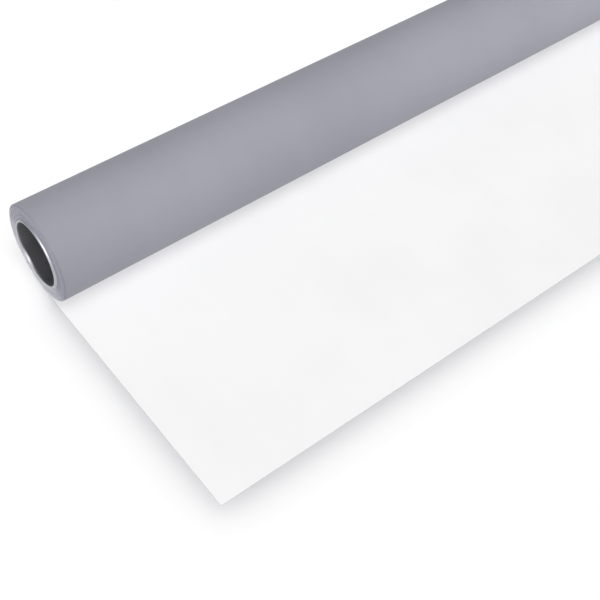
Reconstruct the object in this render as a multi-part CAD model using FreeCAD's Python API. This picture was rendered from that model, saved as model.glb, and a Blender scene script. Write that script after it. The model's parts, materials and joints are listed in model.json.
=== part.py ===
"""Two-tone backdrop roll on a tube core, with the start of its sheet drawn out flat.

All lengths are in millimetres. The tube's axis is X and the origin is on it, halfway along.
+Z is up. The sheet leaves the bottom of the roll and lies flat towards -Y.
"""

import FreeCAD
import Part

import math
import os

SHEET_WIDTH = 1350.0          # along X, the same for the wound and the laid sheet
BACKING_THICKNESS = 0.3       # the grey layer, outermost on the roll and underneath on the floor
FACE_THICKNESS = 0.1          # the white layer bonded to it
FLOOR_DEPTH = 40.8            # from the tube's axis down to what the laid sheet rests on
LAID_LENGTH = 233.0           # from the bottom of the roll to the free edge
ROLL_CLEARANCE = 0.3          # between the roll and the laid sheet, so that the roll can turn
HALF_TURNS = 45               # of wound sheet, from the bottom of the roll to the top of the tube

TUBE_RADIUS = 28.0
TUBE_WALL = 1.5
TUBE_OVERHANG = 1.4           # past the sheet at each end
TUBE_CHAMFER = 0.3            # on both rims, inside and outside

TAPE_THICKNESS = 0.1
TAPE_WIDTH = 19.0             # measured round the tube
TAPE_END_GAP = 5.0            # the tape stops this far inside the sheet's side edges

ARCS_PER_HALF_TURN = 5
ARCS_OF_TAPE = 8

SHEET_THICKNESS = BACKING_THICKNESS + FACE_THICKNESS
ROLL_RADIUS = FLOOR_DEPTH - SHEET_THICKNESS - ROLL_CLEARANCE
INNER_RADIUS = TUBE_RADIUS + TAPE_THICKNESS
PITCH = 2 * (ROLL_RADIUS - SHEET_THICKNESS - INNER_RADIUS) / HALF_TURNS


def save(name, shape):
    shape.exportStep(os.path.join("parts", name + ".step"))


def along_x(wire, length):
    """Extrude a wire drawn in the YZ plane, centred on the origin along X."""
    face = Part.Face(wire)
    face.translate(FreeCAD.Vector(-length / 2, 0, 0))
    return face.extrude(FreeCAD.Vector(length, 0, 0))


def winding_point(half_turn, share, depth):
    """A point of the winding, at a share of one half turn and at a depth below its outer face.

    Each half turn is one arc. The arcs' centres alternate between just below and just above
    the axis, so that they meet without a kink and each full turn comes in by one pitch.
    """
    centre = PITCH / 4 if half_turn % 2 else -PITCH / 4
    radius = ROLL_RADIUS - PITCH / 4 - half_turn * PITCH / 2 - depth
    angle = math.pi * (half_turn + share) - math.pi / 2
    y = radius * math.cos(angle)
    z = centre + radius * math.sin(angle)
    return FreeCAD.Vector(0, y, z)


def winding_arcs(depth):
    """The winding's face at a depth, from the bottom of the roll inwards, as short arcs."""
    arcs = []
    for half_turn in range(HALF_TURNS):
        for step in range(ARCS_PER_HALF_TURN):
            start = winding_point(half_turn, step / ARCS_PER_HALF_TURN, depth)
            middle = winding_point(half_turn, (step + 0.5) / ARCS_PER_HALF_TURN, depth)
            end = winding_point(half_turn, (step + 1) / ARCS_PER_HALF_TURN, depth)
            arcs.append(Part.Arc(start, middle, end).toShape())
    return arcs


def wound_layer(outer_depth, inner_depth):
    """One layer of the wound sheet, between two depths below its outer face."""
    outer = winding_arcs(outer_depth)
    inner = winding_arcs(inner_depth)
    first_end = Part.makeLine(winding_point(0, 0, outer_depth), winding_point(0, 0, inner_depth))
    last = HALF_TURNS - 1
    last_end = Part.makeLine(winding_point(last, 1, outer_depth), winding_point(last, 1, inner_depth))
    wire = Part.Wire(outer + [last_end] + inner[::-1] + [first_end])
    return along_x(wire, SHEET_WIDTH)


def laid_layer(bottom, thickness):
    """One layer of the laid sheet, from the bottom of the roll to the free edge."""
    corner = FreeCAD.Vector(-SHEET_WIDTH / 2, -LAID_LENGTH, bottom)
    return Part.makeBox(SHEET_WIDTH, LAID_LENGTH, thickness, corner)


def core_tube():
    """The metal tube, with both rims chamfered."""
    half = SHEET_WIDTH / 2 + TUBE_OVERHANG
    bore = TUBE_RADIUS - TUBE_WALL
    outline = [
        (-half, bore + TUBE_CHAMFER),
        (-half, TUBE_RADIUS - TUBE_CHAMFER),
        (-half + TUBE_CHAMFER, TUBE_RADIUS),
        (half - TUBE_CHAMFER, TUBE_RADIUS),
        (half, TUBE_RADIUS - TUBE_CHAMFER),
        (half, bore + TUBE_CHAMFER),
        (half - TUBE_CHAMFER, bore),
        (-half + TUBE_CHAMFER, bore),
    ]
    points = [FreeCAD.Vector(x, 0, z) for x, z in outline]
    face = Part.Face(Part.makePolygon(points + points[:1]))
    return face.revolve(FreeCAD.Vector(0, 0, 0), FreeCAD.Vector(1, 0, 0), 360)


def core_tape():
    """The double-sided tape between the tube's top and the end of the winding."""
    width_angle = TAPE_WIDTH / TUBE_RADIUS
    first_angle = math.pi / 2 - width_angle

    def point(radius, share):
        angle = first_angle + share * width_angle
        return FreeCAD.Vector(0, radius * math.cos(angle), radius * math.sin(angle))

    def arcs(radius):
        made = []
        for step in range(ARCS_OF_TAPE):
            start = point(radius, step / ARCS_OF_TAPE)
            middle = point(radius, (step + 0.5) / ARCS_OF_TAPE)
            end = point(radius, (step + 1) / ARCS_OF_TAPE)
            made.append(Part.Arc(start, middle, end).toShape())
        return made

    ends = [Part.makeLine(point(TUBE_RADIUS, share), point(INNER_RADIUS, share)) for share in (0, 1)]
    wire = Part.Wire(arcs(INNER_RADIUS) + [ends[1]] + arcs(TUBE_RADIUS)[::-1] + [ends[0]])
    return along_x(wire, SHEET_WIDTH - 2 * TAPE_END_GAP)


os.makedirs("parts", exist_ok=True)
save("core_tube", core_tube())
save("core_tape", core_tape())
save("wound_grey_backing", wound_layer(0, BACKING_THICKNESS))
save("wound_white_face", wound_layer(BACKING_THICKNESS, SHEET_THICKNESS))
save("laid_grey_backing", laid_layer(-FLOOR_DEPTH, BACKING_THICKNESS))
save("laid_white_face", laid_layer(-FLOOR_DEPTH + BACKING_THICKNESS, FACE_THICKNESS))
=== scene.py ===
"""Looks of the two-tone backdrop roll: the winding, the drawn-out sheet, the tube core and the studio.

All lengths are in metres. The tube's axis is X and the origin is on it, halfway along.
+Z is up. The sheet leaves the bottom of the roll and lies flat towards -Y.
"""
import json
import math

import bpy
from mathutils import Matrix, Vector


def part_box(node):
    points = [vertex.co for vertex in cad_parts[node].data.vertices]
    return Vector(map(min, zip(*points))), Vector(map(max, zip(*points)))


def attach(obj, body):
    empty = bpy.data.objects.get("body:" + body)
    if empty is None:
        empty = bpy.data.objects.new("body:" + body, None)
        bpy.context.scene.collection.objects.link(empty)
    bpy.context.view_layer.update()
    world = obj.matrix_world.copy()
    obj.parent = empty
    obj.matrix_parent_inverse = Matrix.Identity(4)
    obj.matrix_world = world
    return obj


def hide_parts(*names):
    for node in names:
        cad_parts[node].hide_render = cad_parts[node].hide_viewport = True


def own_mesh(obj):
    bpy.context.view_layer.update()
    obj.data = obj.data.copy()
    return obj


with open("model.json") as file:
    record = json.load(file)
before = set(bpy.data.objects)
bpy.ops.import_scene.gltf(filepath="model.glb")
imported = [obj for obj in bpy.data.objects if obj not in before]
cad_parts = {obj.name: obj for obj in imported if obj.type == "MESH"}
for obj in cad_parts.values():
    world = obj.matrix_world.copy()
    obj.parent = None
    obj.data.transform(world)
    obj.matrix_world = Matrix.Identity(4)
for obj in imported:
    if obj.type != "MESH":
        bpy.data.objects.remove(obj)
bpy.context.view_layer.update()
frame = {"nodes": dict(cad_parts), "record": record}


# ---------------------------------------------------------------- sizes

laid_low, laid_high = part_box("laid_grey_backing")
white_low, white_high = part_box("laid_white_face")
tube_low, tube_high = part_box("core_tube")
bore = next(mount for mount in frame["record"]["mounts"] if mount["name"] == "core_bore")

FLOOR = laid_low.z                             # what the laid sheet rests on
BACKING = laid_high.z - laid_low.z
FACE = white_high.z - white_low.z
SHEET = BACKING + FACE
WIDTH = laid_high.x - laid_low.x
LAID_LENGTH = -laid_low.y
TUBE_RADIUS = tube_high.z
TUBE_LENGTH = tube_high.x - tube_low.x
BORE_RADIUS = bore["dims"]["r_mm"] / 1000

TURNS = 22.5
TAPE = 0.0001
ROLL_CLEARANCE = 0.0001                        # above the laid sheet, as the roll turns
ROLL_RADIUS = -FLOOR - SHEET - ROLL_CLEARANCE
INNER_RADIUS = TUBE_RADIUS + TAPE

STEPS_PER_TURN = 96
FLARE_TURNS = 0.15                             # of the outermost turn, coming in from the laid sheet
SET_BACK = 0.0008                              # of the outer turns, towards +X
WANDER = 0.0006                                # sideways, of the turns inside them
# The turn that each slack place lies under, its middle in degrees from the bottom, and its height.
SLACK = [(1, 250, 0.00016), (3, 200, 0.00012), (6, 285, 0.00014), (10, 235, 0.00010), (15, 120, 0.00010)]

RIM_ROUNDING = 0.0004
MOUTH_DEPTH = 0.0013                           # of the bright start of the bore
TUBE_STEPS = 160

FLOOR_GAP = 0.015                              # under the sheet, so that its shadow is a wide one
FLOOR_HALF_SIZE = 6.0


# ---------------------------------------------------------------- node maths

class Sum:
    """A socket of a node tree that can be used in Python expressions."""

    def __init__(self, tree, socket=None):
        self.tree = tree
        self.socket = socket

    def node(self, kind, settings=None, **inputs):
        """Add a node. Settings are set first, then inputs by name or, as in_0, by place."""
        made = self.tree.nodes.new(kind)
        for key, value in (settings or {}).items():
            setattr(made, key, value)
        for key, value in inputs.items():
            place = int(key[3:]) if key.startswith("in_") else key.replace("_", " ")
            target = made.inputs[place]
            if isinstance(value, Sum):
                self.tree.links.new(value.socket, target)
            else:
                target.default_value = value
        return made

    def maths(self, operation, *values):
        inputs = {f"in_{place}": value for place, value in enumerate(values)}
        made = self.node("ShaderNodeMath", {"operation": operation}, **inputs)
        return Sum(self.tree, made.outputs[0])

    def __add__(self, other):
        return self.maths("ADD", self, other)

    def __radd__(self, other):
        return self.maths("ADD", other, self)

    def __sub__(self, other):
        return self.maths("SUBTRACT", self, other)

    def __rsub__(self, other):
        return self.maths("SUBTRACT", other, self)

    def __mul__(self, other):
        return self.maths("MULTIPLY", self, other)

    def __rmul__(self, other):
        return self.maths("MULTIPLY", other, self)

    def __truediv__(self, other):
        return self.maths("DIVIDE", self, other)

    def __rtruediv__(self, other):
        return self.maths("DIVIDE", other, self)

    def __pow__(self, other):
        return self.maths("POWER", self, other)

    def __neg__(self):
        return self.maths("MULTIPLY", self, -1.0)

    def sin(self):
        return self.maths("SINE", self)

    def cos(self):
        return self.maths("COSINE", self)

    def floor(self):
        return self.maths("FLOOR", self)

    def most(self, other):
        return self.maths("MAXIMUM", self, other)

    def ramp(self, low, high, to_low=0.0, to_high=1.0):
        """The value moved smoothly from one range to another, held at both ends."""
        made = self.node("ShaderNodeMapRange", {"interpolation_type": "SMOOTHSTEP", "clamp": True},
                         in_0=self, in_1=low, in_2=high, in_3=to_low, in_4=to_high)
        return Sum(self.tree, made.outputs[0])


def out(start, made, name=0):
    """A node's output as an expression."""
    return Sum(start.tree, made.outputs[name])


# ---------------------------------------------------------------- patterns

def new_finish(name):
    """A new material: the material, the expression to start from, and its shader."""
    material = bpy.data.materials.new(name)
    material.use_nodes = True
    tree = material.node_tree
    return material, Sum(tree), tree.nodes["Principled BSDF"]


def feed(start, shader, name, value):
    """Link an expression to one of the shader's inputs."""
    start.tree.links.new(value.socket, shader.inputs[name])


def bumped(start, shader, height, strength, distance):
    """Raise the surface by a pattern."""
    made = start.node("ShaderNodeBump", Strength=strength, Distance=distance, Height=height)
    feed(start, shader, "Normal", out(start, made))


def mixed(start, share, low, high):
    """A colour between two, by an expression."""
    made = start.node("ShaderNodeMix", {"data_type": "RGBA"}, in_0=share, in_6=(*low, 1.0), in_7=(*high, 1.0))
    return out(start, made, 2)


def grain(start, where, scale, detail=2.0, stretch=(1.0, 1.0, 1.0), roughness=0.5):
    """Noise from 0 to 1, in a pattern space stretched by axis."""
    mapping = start.node("ShaderNodeMapping", Vector=where, Scale=stretch)
    made = start.node("ShaderNodeTexNoise", {"noise_dimensions": "3D"},
                      Vector=out(start, mapping), Scale=scale, Detail=detail, Roughness=roughness)
    return out(start, made)


def sheet_space(start):
    """The sheet's own metres: x along its length and y across its width."""
    return out(start, start.node("ShaderNodeUVMap", {"uv_map": "sheet"}))


def object_space(start):
    """Metres in the object's frame."""
    return out(start, start.node("ShaderNodeTexCoord"), "Object")


# ---------------------------------------------------------------- materials

def vinyl(name, shade, shade_two, rough):
    """Matte calendered vinyl: fine grain, faint cloudiness, and lines along its length."""
    material, start, shader = new_finish(name)
    where = sheet_space(start)
    cloud = grain(start, where, 9.0, 3.0)
    lines = grain(start, where, 60.0, 2.0, (0.04, 1.0, 1.0))
    pores = grain(start, where, 1900.0, 2.0, (1.0, 1.0, 1.0), 0.6)
    leather = grain(start, where, 700.0, 1.0)
    tone = cloud.ramp(0.3, 0.7) * 0.6 + lines.ramp(0.35, 0.65) * 0.10 + pores * 0.15
    feed(start, shader, "Base Color", mixed(start, tone, shade, shade_two))
    feed(start, shader, "Roughness", rough + (pores - 0.5) * 0.12 + (cloud - 0.5) * 0.08)
    bumped(start, shader, pores * 0.6 + leather * 0.4 + lines * 0.05, 0.25, 0.00006)
    shader.inputs["Specular IOR Level"].default_value = 0.35
    return material


def cut_edge_with_painted_shade(name, shade, shade_two):
    """A slit vinyl edge: the same plastic in a darker tone, which is painted shade on the thin edge, with
    knife chatter across its thickness.
    """
    material, start, shader = new_finish(name)
    chatter = grain(start, object_space(start), 900.0, 2.0)
    feed(start, shader, "Base Color", mixed(start, chatter, shade, shade_two))
    feed(start, shader, "Roughness", 0.6 + (chatter - 0.5) * 0.2)
    bumped(start, shader, chatter, 0.3, 0.00005)
    shader.inputs["Specular IOR Level"].default_value = 0.3
    return material


def aluminium(name, shade, shade_two, rough, stretch, scale, strength):
    """Aluminium with fine marks: drawing lines where they are stretched, and saw marks where not."""
    material, start, shader = new_finish(name)
    where = object_space(start)
    lines = grain(start, where, scale, 3.0, stretch)
    stains = grain(start, where, 14.0, 4.0)
    tone = stains.ramp(0.35, 0.7) * 0.7 + lines * 0.3
    feed(start, shader, "Base Color", mixed(start, tone, shade, shade_two))
    feed(start, shader, "Roughness", rough + (lines - 0.5) * 0.16 + (stains - 0.5) * 0.1)
    bumped(start, shader, lines, strength, 0.00004)
    shader.inputs["Metallic"].default_value = 1.0
    return material


def clear_tape():
    """Yellowish double-sided tape, with wrinkles along its length."""
    material, start, shader = new_finish("clear_tape")
    wrinkle = grain(start, object_space(start), 120.0, 3.0, (0.2, 1.0, 1.0))
    feed(start, shader, "Base Color", mixed(start, wrinkle, (0.80, 0.77, 0.66), (0.70, 0.67, 0.56)))
    feed(start, shader, "Roughness", 0.3 + wrinkle * 0.2)
    bumped(start, shader, wrinkle, 0.3, 0.00005)
    return material


def pale_floor():
    """A nearly white studio floor, a little cloudy."""
    material, start, shader = new_finish("pale_floor")
    cloud = grain(start, object_space(start), 1.5, 2.0)
    feed(start, shader, "Base Color", mixed(start, cloud, (0.94, 0.94, 0.94), (0.95, 0.95, 0.95)))
    shader.inputs["Roughness"].default_value = 0.8
    shader.inputs["Specular IOR Level"].default_value = 0.1
    return material


ALONG_TUBE = (0.02, 1.0, 1.0)
ALL_WAYS = (1.0, 1.0, 1.0)

GREY = vinyl("grey_vinyl_backing", (0.252, 0.252, 0.294), (0.281, 0.281, 0.324), 0.62)
WHITE = vinyl("white_vinyl_face", (0.79, 0.79, 0.79), (0.83, 0.83, 0.83), 0.55)
# The cut edges are coloured darker than the faces: painted shade for the thin dark line along the sheet's
# edge.
GREY_EDGE_PAINTED_SHADE = cut_edge_with_painted_shade("grey_vinyl_cut", (0.19, 0.19, 0.238), (0.25, 0.25, 0.307))
WHITE_EDGE_PAINTED_SHADE = cut_edge_with_painted_shade("white_vinyl_cut", (0.56, 0.56, 0.655), (0.68, 0.68, 0.78))
TUBE_OUTSIDE = aluminium("drawn_aluminium", (0.72, 0.72, 0.75), (0.63, 0.63, 0.66), 0.58,
                         ALONG_TUBE, 900.0, 0.2)
TUBE_RIM = aluminium("sawn_aluminium", (0.55, 0.55, 0.58), (0.46, 0.46, 0.49), 0.56,
                     ALL_WAYS, 1400.0, 0.25)
TUBE_BORE = aluminium("dull_bore_aluminium", (0.58, 0.58, 0.61), (0.50, 0.50, 0.53), 0.42,
                      ALONG_TUBE, 700.0, 0.2)


# ---------------------------------------------------------------- the sheet, in geometry nodes

def new_tree(name, inputs):
    """A geometry tree with named inputs: the tree, and its inputs as expressions by name."""
    tree = bpy.data.node_groups.new(name, "GeometryNodeTree")
    tree.interface.new_socket("Geometry", in_out="OUTPUT", socket_type="NodeSocketGeometry")
    for label, kind in inputs:
        tree.interface.new_socket(label, in_out="INPUT", socket_type="NodeSocket" + kind)
    entry = tree.nodes.new("NodeGroupInput")
    return tree, {label: Sum(tree, entry.outputs[label]) for label, _ in inputs}


def end_tree(tree, geometry, material):
    """Finish a tree with Realize Instances and Set Material."""
    start = Sum(tree)
    real = start.node("GeometryNodeRealizeInstances", Geometry=geometry)
    faced = start.node("GeometryNodeSetMaterial", Geometry=out(start, real), Material=material)
    leave = tree.nodes.new("NodeGroupOutput")
    tree.links.new(faced.outputs[0], leave.inputs[0])


def sheet_grid(start, given):
    """A grid for a sheet, with the share along it from 0 to 1 and the share across it from -0.5 to 0.5."""
    grid = start.node("GeometryNodeMeshGrid", Size_X=1.0, Size_Y=1.0,
                      Vertices_X=given["Along"], Vertices_Y=given["Across"])
    index = out(start, start.node("GeometryNodeInputIndex"))
    row = (index / given["Across"] + 0.0001).floor()
    across = (index - row * given["Across"]) / (given["Across"] - 1.0) - 0.5
    along = row / (given["Along"] - 1.0)
    return grid, along, across


def by_point(start, made):
    """A vector worked out at the points, for a value kept at the corners."""
    kept = start.node("GeometryNodeFieldOnDomain", {"data_type": "FLOAT_VECTOR", "domain": "POINT"},
                      in_0=out(start, made))
    return out(start, kept)


def lay_sheet(start, grid, place, flat, finish):
    """Move a sheet's grid into place, keep its flat metres in its UV map, and end the tree."""
    moved = start.node("GeometryNodeSetPosition", Geometry=out(start, grid), Position=out(start, place))
    kept = start.node("GeometryNodeStoreNamedAttribute", {"data_type": "FLOAT2", "domain": "CORNER"},
                      Geometry=out(start, moved), Name="sheet", Value=by_point(start, flat))
    end_tree(start.tree, out(start, kept), finish)


def winding_radius(given, along, turn, angle):
    """The spiral's radius, with its flare from the floor and its slack places."""
    radius = given["Outer radius"] + (given["Inner radius"] - given["Outer radius"]) * along - given["Depth"]
    flare = turn.ramp(0.0, FLARE_TURNS, 1.0, 0.0)
    radius = radius + (given["Floor radius"] - given["Outer radius"]) * flare
    for under, middle, height in SLACK:
        facing = (angle - math.radians(middle)).cos().most(0.0) ** 2.0
        far_side = under + ((middle + 180) % 360) / 360
        outside = turn.ramp(far_side - 0.1, far_side + 0.1, 1.0, 0.0)
        radius = radius + facing * outside * height
    return radius


def winding_shift(start, given, turn):
    """How far the sheet lies to one side: the outer turns set back, and the inner ones wandering."""
    slow = start.node("ShaderNodeTexNoise", {"noise_dimensions": "1D"}, W=turn * 0.45 + given["Seed"],
                      Scale=1.0, Detail=2.0)
    quick = start.node("ShaderNodeTexNoise", {"noise_dimensions": "1D"}, W=turn * 2.3 + given["Seed"],
                       Scale=1.0, Detail=1.0)
    shift = ((out(start, slow) - 0.5) * 2.0 + (out(start, quick) - 0.5) * 0.5) * given["Shift"]
    shift = shift * turn.ramp(0.3, 3.0)
    return shift + turn.ramp(0.0, 0.25) * turn.ramp(1.5, 3.5, 1.0, 0.0) * given["Set back"]


def winding_tree():
    """The middle of one layer of the wound sheet, from the bottom of the roll in to the tape."""
    tree, given = new_tree("winding", [
        ("Outer radius", "Float"), ("Inner radius", "Float"), ("Turns", "Float"), ("Width", "Float"),
        ("Depth", "Float"), ("Floor radius", "Float"), ("Shift", "Float"), ("Set back", "Float"),
        ("Along", "Int"), ("Across", "Int"), ("Seed", "Int"), ("Finish", "Material"),
    ])
    start = Sum(tree)
    grid, along, across = sheet_grid(start, given)
    turn = along * given["Turns"]
    angle = turn * (2 * math.pi)
    radius = winding_radius(given, along, turn, angle)
    shift = winding_shift(start, given, turn)
    place = start.node("ShaderNodeCombineXYZ", X=across * given["Width"] + shift,
                       Y=radius * angle.sin(), Z=-(radius * angle.cos()))
    length = (given["Outer radius"] + given["Inner radius"]) * given["Turns"] * math.pi
    flat = start.node("ShaderNodeCombineXYZ", X=along * length, Y=across * given["Width"], Z=0.0)
    lay_sheet(start, grid, place, flat, given["Finish"])
    return tree


def laid_tree():
    """The middle of one layer of the laid sheet, from the bottom of the roll to its free edge."""
    tree, given = new_tree("laid_stretch", [
        ("Length", "Float"), ("Width", "Float"), ("Height", "Float"), ("Along", "Int"), ("Across", "Int"),
        ("Finish", "Material"),
    ])
    start = Sum(tree)
    grid, along, across = sheet_grid(start, given)
    place = start.node("ShaderNodeCombineXYZ", X=across * given["Width"], Y=-(along * given["Length"]),
                       Z=given["Height"])
    flat = start.node("ShaderNodeCombineXYZ", X=-(along * given["Length"]), Y=across * given["Width"], Z=0.0)
    lay_sheet(start, grid, place, flat, given["Finish"])
    return tree


# ---------------------------------------------------------------- the sheet, as plain meshes

def stand(name, data):
    """A new object at the origin."""
    piece = bpy.data.objects.new(name, data)
    bpy.context.collection.objects.link(piece)
    return piece


def settled(piece):
    """A plain mesh of an object with its modifiers run."""
    bpy.context.view_layer.update()
    return bpy.data.meshes.new_from_object(piece.evaluated_get(bpy.context.evaluated_depsgraph_get()))


def surface_of(name, tree, values):
    """A plain mesh of what a tree makes from named values."""
    carrier = stand(name + "_maker", bpy.data.meshes.new(name + "_maker"))
    made = carrier.modifiers.new("shape", "NODES")
    made.node_group = tree
    for item in tree.interface.items_tree:
        if item.in_out == "INPUT" and item.name in values:
            made[item.identifier] = values[item.name]
    surface = settled(carrier)
    bpy.data.objects.remove(carrier)
    return surface


def sheet_layer(name, tree, values, edge, thickness):
    """One layer of the sheet, thickened evenly about its middle, with a cut edge all round."""
    piece = stand(name, surface_of(name, tree, values))
    piece.data.materials.append(edge)
    wall = piece.modifiers.new("thickness", "SOLIDIFY")
    wall.thickness = thickness
    wall.offset = 0.0
    wall.use_rim = True
    wall.material_offset_rim = 1
    solid = settled(piece)
    piece.modifiers.clear()
    piece.data = solid
    solid.name = name
    solid.shade_smooth()
    solid.set_sharp_from_angle(angle=math.radians(35))
    return piece


WINDING = winding_tree()
LAID = laid_tree()


def wound_layer(name, depth, thickness, face, edge):
    """One layer of the wound sheet, with its middle at a depth below the roll's outside."""
    return sheet_layer(name, WINDING, {
        "Outer radius": ROLL_RADIUS, "Inner radius": INNER_RADIUS + SHEET, "Turns": TURNS, "Width": WIDTH,
        "Depth": depth, "Floor radius": -FLOOR, "Shift": WANDER, "Set back": SET_BACK,
        "Along": int(TURNS * STEPS_PER_TURN) + 1, "Across": 5, "Seed": 7, "Finish": face,
    }, edge, thickness)


def laid_layer(name, height, thickness, face, edge):
    """One layer of the laid sheet, with its middle at a height."""
    return sheet_layer(name, LAID, {
        "Length": LAID_LENGTH, "Width": WIDTH, "Height": height, "Along": 25, "Across": 41, "Finish": face,
    }, edge, thickness)


wound_grey = wound_layer("wound_grey_vinyl", BACKING / 2, BACKING, GREY, GREY_EDGE_PAINTED_SHADE)
wound_white = wound_layer("wound_white_vinyl", BACKING + FACE / 2, FACE, WHITE, WHITE_EDGE_PAINTED_SHADE)
laid_grey = laid_layer("laid_grey_vinyl", FLOOR + BACKING / 2, BACKING, GREY, GREY_EDGE_PAINTED_SHADE)
laid_white = laid_layer("laid_white_vinyl", FLOOR + BACKING + FACE / 2, FACE, WHITE, WHITE_EDGE_PAINTED_SHADE)


# ---------------------------------------------------------------- the tube core

# The places of the tube's three finishes among its materials.
OUTSIDE = 0
RIM = 1
INSIDE = 2


def rim_outline():
    """The tube's outline at its +X end, from the outside over the rim to the end of the bright mouth."""
    half = TUBE_LENGTH / 2
    outer = []
    inner = []
    for step in range(4):
        angle = math.pi / 2 * step / 3
        by_sine = RIM_ROUNDING * (1 - math.sin(angle))
        by_cosine = RIM_ROUNDING * (1 - math.cos(angle))
        outer.append((half - by_sine, TUBE_RADIUS - by_cosine, RIM))
        inner.append((half - by_cosine, BORE_RADIUS + by_sine, RIM))
    return outer + inner + [(half - MOUTH_DEPTH, BORE_RADIUS, RIM)]


def tube_outline():
    """The tube's whole outline, as (x, radius, the finish of the stretch that follows)."""
    half = TUBE_LENGTH / 2
    right = rim_outline()
    left = [(-x, radius, finish) for x, radius, finish in reversed(right)]
    right[-1] = (*right[-1][:2], INSIDE)
    left[-1] = (*left[-1][:2], OUTSIDE)
    inside = [(half * share, BORE_RADIUS, INSIDE) for share in (0.9, 0.5, 0.0, -0.5, -0.9)]
    outside = [(half * share, TUBE_RADIUS, OUTSIDE) for share in (-0.9, -0.5, 0.0, 0.5, 0.9)]
    return right + inside + left + outside


def turned(name, outline, steps, finishes):
    """A closed ring about the X axis from an outline."""
    count = len(outline)
    points = []
    faces = []
    slots = []
    for step in range(steps):
        after = (step + 1) % steps
        angle = 2 * math.pi * step / steps
        for place, (x, radius, slot) in enumerate(outline):
            following = (place + 1) % count
            points.append((x, radius * math.sin(angle), -radius * math.cos(angle)))
            faces.append((step * count + place, after * count + place,
                          after * count + following, step * count + following))
            slots.append(slot)
    mesh = bpy.data.meshes.new(name)
    mesh.from_pydata(points, [], faces)
    for finish in finishes:
        mesh.materials.append(finish)
    mesh.polygons.foreach_set("material_index", slots)
    mesh.validate()
    mesh.shade_smooth()
    mesh.set_sharp_from_angle(angle=math.radians(50))
    return stand(name, mesh)


tube = turned("aluminium_tube", tube_outline(), TUBE_STEPS, [TUBE_OUTSIDE, TUBE_RIM, TUBE_BORE])

tape = frame["nodes"]["core_tape"]
for material_slot in tape.material_slots:
    material_slot.material = clear_tape()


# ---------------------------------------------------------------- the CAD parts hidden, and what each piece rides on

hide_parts("wound_grey_backing")
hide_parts("wound_white_face")
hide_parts("laid_grey_backing")
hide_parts("laid_white_face")
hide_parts("core_tube")

for piece in (wound_grey, wound_white, tube):
    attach(piece, "roll")
for piece in (laid_grey, laid_white):
    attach(piece, "laid_sheet")
    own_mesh(piece)


# ---------------------------------------------------------------- studio

def studio_floor():
    """A wide square under the sheet."""
    side = FLOOR_HALF_SIZE
    level = FLOOR - FLOOR_GAP
    mesh = bpy.data.meshes.new("studio_floor")
    mesh.from_pydata([(-side, -side, level), (side, -side, level), (side, side, level), (-side, side, level)],
                     [], [(0, 1, 2, 3)])
    mesh.materials.append(pale_floor())
    piece = stand("studio_floor", mesh)
    return piece


def sky(seen, strength):
    """An even pale surround, brighter to look at than it is as a light."""
    world = bpy.data.worlds.new("studio_light")
    bpy.context.scene.world = world
    world.use_nodes = True
    start = Sum(world.node_tree)
    shade = world.node_tree.nodes["Background"]
    straight = out(start, start.node("ShaderNodeLightPath"), "Is Camera Ray")
    shade.inputs["Color"].default_value = (1.0, 1.0, 1.0, 1.0)
    feed(start, shade, "Strength", straight * (seen - strength) + strength)


def group_of(name, members):
    """A collection of some pieces, for a light."""
    collection = bpy.data.collections.new(name)
    for member in members:
        collection.objects.link(member)
    return collection


def place_light(name, light, where, source, lit, shaded_by):
    """Put a light in the studio, shining from the way that source points.

    It shines on the pieces in lit, and only the pieces in shaded_by cast a shadow in it.
    """
    piece = stand(name, light)
    piece.location = where
    piece.rotation_euler = source.to_track_quat("Z", "Y").to_euler()
    piece.light_linking.receiver_collection = group_of(name + "_on", lit)
    piece.light_linking.blocker_collection = group_of(name + "_shades", shaded_by)


def soft_fill(name, heading, height, spread, strength, lit, shaded_by):
    """A light from far away, by angles in degrees. Heading 0 is behind the roll, and 90 is its +X end."""
    light = bpy.data.lights.new(name, "SUN")
    light.energy = strength
    light.angle = math.radians(spread)
    level = math.cos(math.radians(height))
    source = Vector((level * math.sin(math.radians(heading)), level * math.cos(math.radians(heading)),
                     math.sin(math.radians(height))))
    place_light(name, light, (0.0, 0.0, 0.0), source, lit, shaded_by)


def bounce_card(name, where, size, power, lit, shaded_by):
    """A square card in front that sends light back at the roll."""
    light = bpy.data.lights.new(name, "AREA")
    light.energy = power
    light.size = size
    place_light(name, light, where, Vector((0.0, -1.0, 0.0)), lit, shaded_by)


def camera(where, angles, lens):
    """The camera at a place, turned by angles in degrees."""
    data = bpy.data.cameras.new("camera")
    data.sensor_width = 36.0
    data.lens = lens
    data.clip_start = 0.01
    piece = stand("camera", data)
    piece.location = where
    piece.rotation_euler = [math.radians(angle) for angle in angles]
    bpy.context.scene.camera = piece


ground = studio_floor()
sheets = [laid_grey, laid_white]
winding = [wound_grey, wound_white]
roll = winding + [tube, tape]
sky(1.0, 0.23)
soft_fill("front_softbox", 183, 50.3, 70, 2.21, sheets + winding, winding)
soft_fill("tube_key", 182.6, 50.3, 2, 2.4, [tube], [tube])
soft_fill("top_fill", 0, 90, 80, 0.84, sheets + winding, [ground])
soft_fill("back_fill", 0, 45, 40, 0.46, sheets + winding, [ground])
soft_fill("end_fill", 270, 15, 40, 0.82, roll, [tube])
soft_fill("floor_fill", 0, 90, 60, 0.25, [ground], [ground])
soft_fill("floor_softbox", 0, 90, 150, 1.50, [ground], sheets)
soft_fill("floor_key", 200, 62, 30, 1.05, [ground], roll)
bounce_card("front_card", (0.10, -0.50, 0.02), 0.4, 0.8, winding, [ground])
camera((-0.87661, -0.51572, 0.61079), (38.9067, -3.0701, -38.4732), 64.69)
bpy.context.scene.view_settings.view_transform = "Standard"
